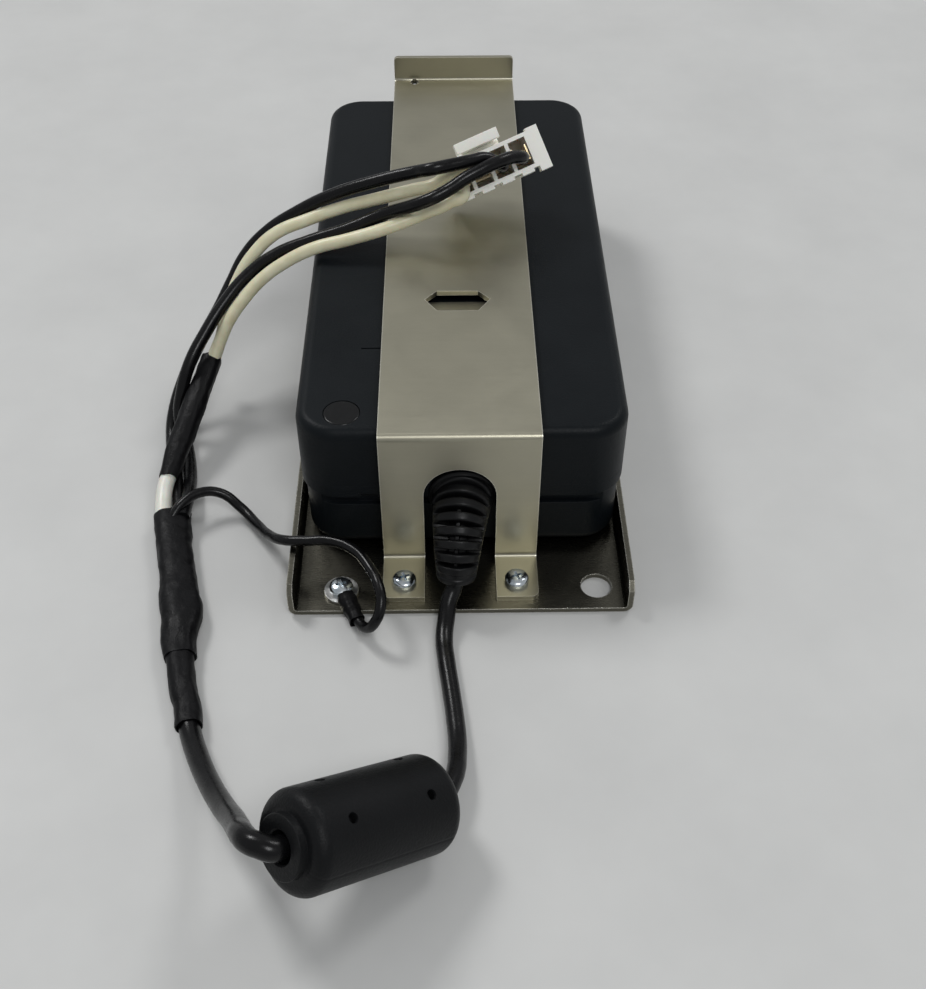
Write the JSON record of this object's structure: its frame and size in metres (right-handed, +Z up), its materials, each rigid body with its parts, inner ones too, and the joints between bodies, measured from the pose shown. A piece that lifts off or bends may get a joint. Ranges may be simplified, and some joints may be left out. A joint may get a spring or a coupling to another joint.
{
  "type": "bracket-mounted power supply",
  "caption": "Boxed AC/DC power supply clamped in a sheet-metal bracket, with a ferrite on its output lead, a ground wire and a four-way crimp plug on spliced wires.",
  "frame": {"origin": "on the resting plane, below the middle of the bracket (tray front edge to rear lip)", "axes": "+Y from the cable end to the mains inlet end, +X to the right seen from the cable end, +Z up from the tray to the strap"},
  "size_m": [0.1047, 0.2347, 0.0576],
  "materials": {
    "nickel_steel": "fine brushed nickel plate, satin",
    "zinc_screw": "bright zinc plate",
    "tin": "tinned, satin",
    "case_plastic": "fine spark-eroded texture, satin",
    "lens_plastic": "smooth dark translucent",
    "led_plastic": "clear green",
    "rubber": "matt",
    "label_film": "blank silver film",
    "insulation_film": "translucent film",
    "board": "solder mask over glass laminate",
    "ferrite": "sintered, matt",
    "winding": "taped winding",
    "capacitor_sleeve": "shrunk sleeve",
    "aluminium": "mill finish",
    "package_plastic": "moulded epoxy",
    "copper_winding": "enamelled copper",
    "film_capacitor": "potted box",
    "ceramic": "ceramic tube",
    "inlet_plastic": "moulded, satin",
    "relief_plastic": "flexible moulding, satin",
    "cable_jacket": "smooth jacket, gloss",
    "ferrite_cover": "grained over-moulding",
    "heat_shrink": "wrinkled sleeve, satin",
    "white_jacket": "smooth jacket",
    "ivory_jacket": "smooth jacket",
    "nylon": "natural nylon, satin",
    "crimp_brass": "stamped"
  },
  "bodies": {
    "root": {"base_tray": "nickel_steel", "clamp_strap": "nickel_steel", "strap_screws": "zinc_screw", "ground_screw": "zinc_screw", "ring_terminal": "tin", "terminal_sleeve": "heat_shrink", "ground_wire": "cable_jacket", "upper_case": "case_plastic", "lower_case": "case_plastic", "indicator_lens": "lens_plastic", "indicator_led": "led_plastic", "rubber_feet": "rubber", "rating_label": "label_film", "insulation_sheet": "insulation_film", "main_board": "board", "transformer_core": "ferrite", "transformer_winding": "winding", "bulk_capacitor": "capacitor_sleeve", "output_capacitors": "capacitor_sleeve", "primary_heat_sink": "aluminium", "secondary_heat_sink": "aluminium", "power_semiconductors": "package_plastic", "line_choke": "copper_winding", "line_filter_capacitor": "film_capacitor", "fuse": "ceramic", "inlet_body": "inlet_plastic", "inlet_pins": "tin", "strain_relief": "relief_plastic", "output_cable_front": "cable_jacket", "ferrite_core": "ferrite", "ferrite_cover": "ferrite_cover", "output_cable_rear": "cable_jacket", "splice_sleeve_end": "heat_shrink", "splice_sleeve_long": "heat_shrink", "white_lead": "white_jacket", "white_lead_sleeve": "heat_shrink", "wire_white_front": "ivory_jacket", "wire_white_rear": "ivory_jacket", "wire_black_front": "cable_jacket", "wire_black_rear": "cable_jacket", "connector_housing": "nylon", "crimp_contacts": "crimp_brass"},
    "latch": {"connector_latch": "nylon"}
  },
  "joints": [
    {"name": "latch_rock", "type": "hinge", "parent": "root", "child": "latch", "pos_m": [0.0052, 0.01737, 0.05087], "axis": [0.9169, 0.2803, 0.284], "range_deg": [0, 8], "stiffness_Nm_per_rad": 0.02}
  ]
}
